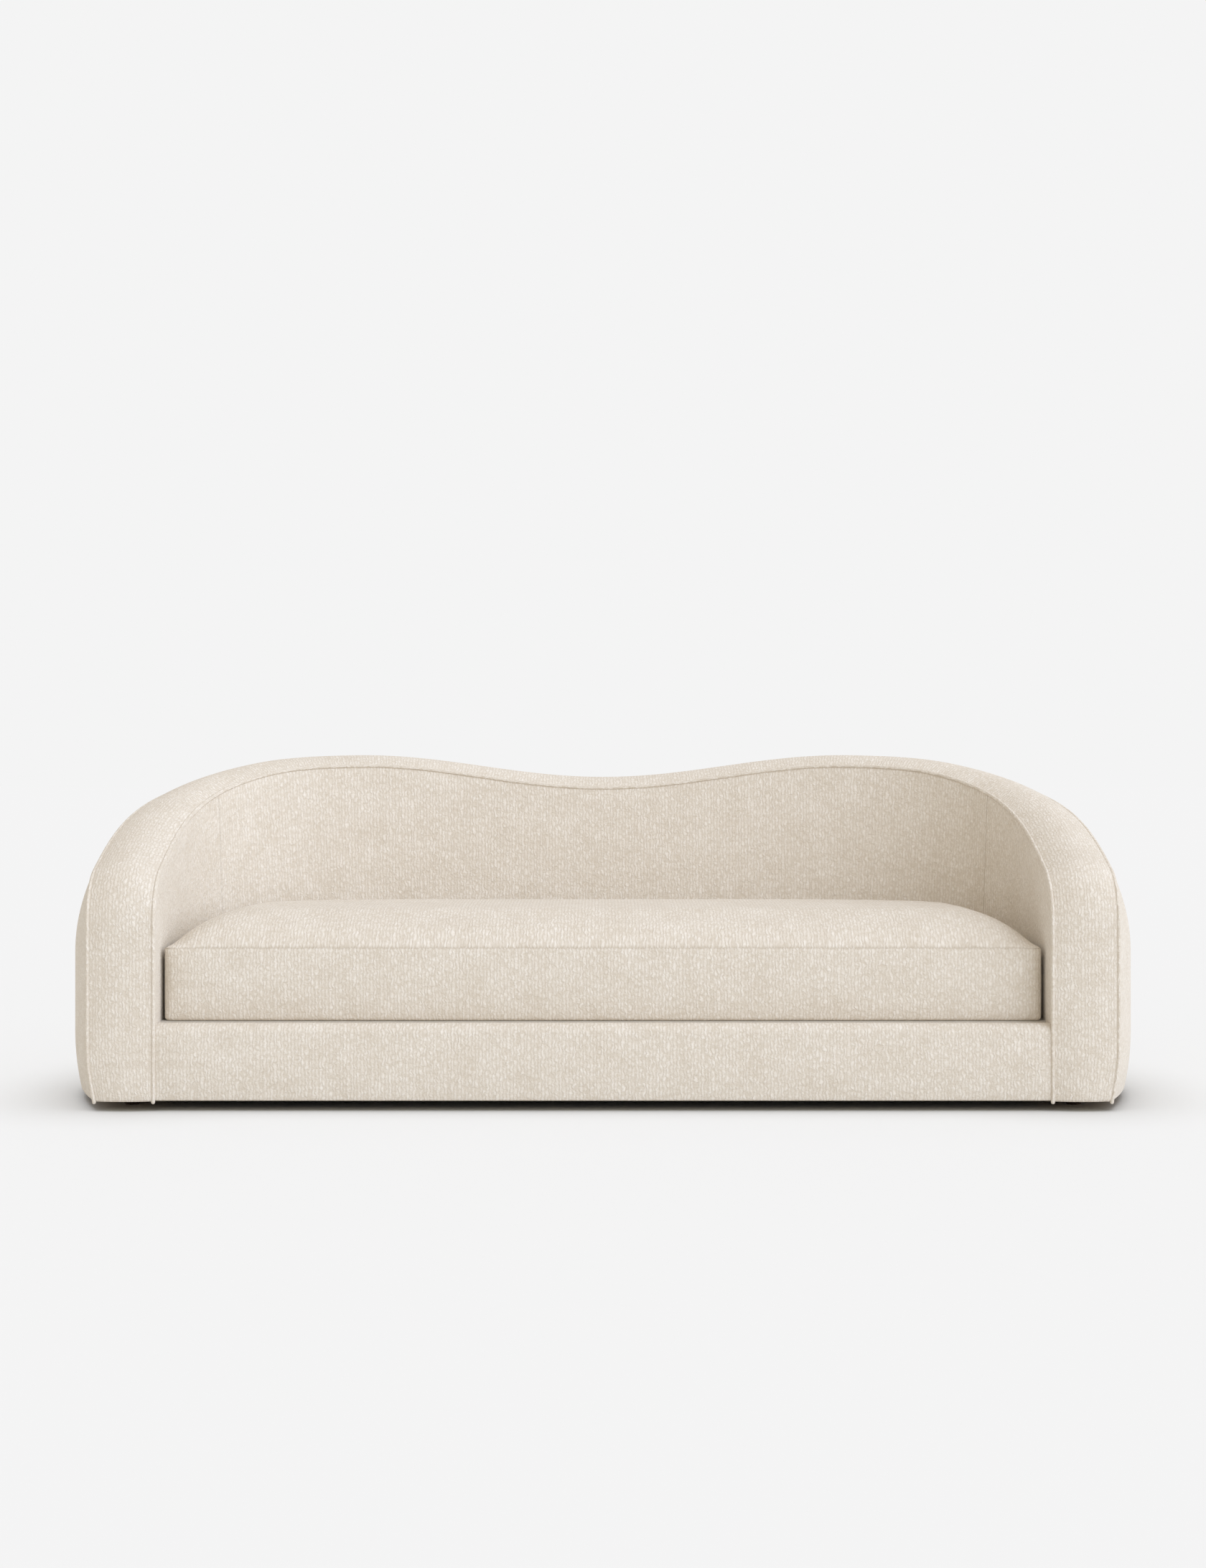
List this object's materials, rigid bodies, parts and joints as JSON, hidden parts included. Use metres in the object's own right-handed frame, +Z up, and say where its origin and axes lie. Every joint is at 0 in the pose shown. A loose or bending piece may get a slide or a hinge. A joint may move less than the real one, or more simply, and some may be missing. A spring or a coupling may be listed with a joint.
{
  "type": "upholstered sofa",
  "caption": "Curved upholstered sofa in boucle, its padded band running up the front faces and round the wavy top, with a loose bench cushion and small round feet.",
  "frame": {"origin": "on the floor under the middle of the sofa", "axes": "+X to the right of someone looking at the front, +Y towards the back, +Z up; the front faces -Y"},
  "size_m": [2.4346, 0.98, 0.7732],
  "materials": {
    "boucle": "matte",
    "foam": "matte",
    "lining": "matte",
    "black_cloth": "matte",
    "plywood": "matte",
    "frame_wood": "matte",
    "foot_wood": "satin",
    "steel": "satin",
    "webbing": "matte",
    "zip_cloth": "matte"
  },
  "bodies": {
    "sofa": {"inside_cover": "boucle", "outside_cover": "boucle", "band_cover": "boucle", "inner_welt": "boucle", "outer_welt": "boucle", "left_arm_inside_pad": "foam", "left_arm_outside_board": "plywood", "left_arm_band_pad": "foam", "left_corner_inside_pad": "foam", "left_corner_outside_board": "plywood", "left_corner_band_pad": "foam", "back_inside_pad": "foam", "back_outside_board": "plywood", "back_band_pad": "foam", "right_corner_inside_pad": "foam", "right_corner_outside_board": "plywood", "right_corner_band_pad": "foam", "right_arm_inside_pad": "foam", "right_arm_outside_board": "plywood", "right_arm_band_pad": "foam", "front_rail_cover": "boucle", "front_rail_pad": "foam", "base_plate": "plywood", "front_rail": "frame_wood", "curved_seat_rail": "frame_wood", "left_cross_rail": "frame_wood", "middle_cross_rail": "frame_wood", "right_cross_rail": "frame_wood", "rib_1": "plywood", "rib_2": "plywood", "rib_3": "plywood", "rib_4": "plywood", "rib_5": "plywood", "rib_6": "plywood", "rib_7": "plywood", "top_rail": "frame_wood", "left_arm_front_board": "plywood", "right_arm_front_board": "plywood", "seat_webbing": "webbing", "deck_pad": "foam", "deck_cover": "lining", "dust_cover": "black_cloth", "left_front_foot": "foot_wood", "left_front_foot_bolt": "steel", "right_front_foot": "foot_wood", "right_front_foot_bolt": "steel", "left_rear_foot": "foot_wood", "left_rear_foot_bolt": "steel", "right_rear_foot": "foot_wood", "right_rear_foot_bolt": "steel", "middle_foot": "foot_wood", "middle_foot_bolt": "steel"},
    "seat_cushion": {"cushion_bottom_panel": "boucle", "cushion_boxing": "boucle", "cushion_foam_core": "foam", "cushion_top_panel": "boucle", "zip_tape": "zip_cloth"},
    "zip_slider": {"zip_slider": "steel"},
    "zip_pull": {"zip_pull": "steel"}
  },
  "joints": [
    {"name": "cushion_lift", "type": "slide", "parent": "sofa", "child": "seat_cushion", "axis": [0, 0, 1], "range_m": [0, 0.6]},
    {"name": "zip_slide", "type": "slide", "parent": "seat_cushion", "child": "zip_slider", "axis": [1, 0, 0], "range_m": [0, 0.78]},
    {"name": "zip_pull_swing", "type": "hinge", "parent": "zip_slider", "child": "zip_pull", "pos_m": [-0.3935, 0.15468, 0.2721], "axis": [1, 0, 0], "range_deg": [0, 20]}
  ]
}
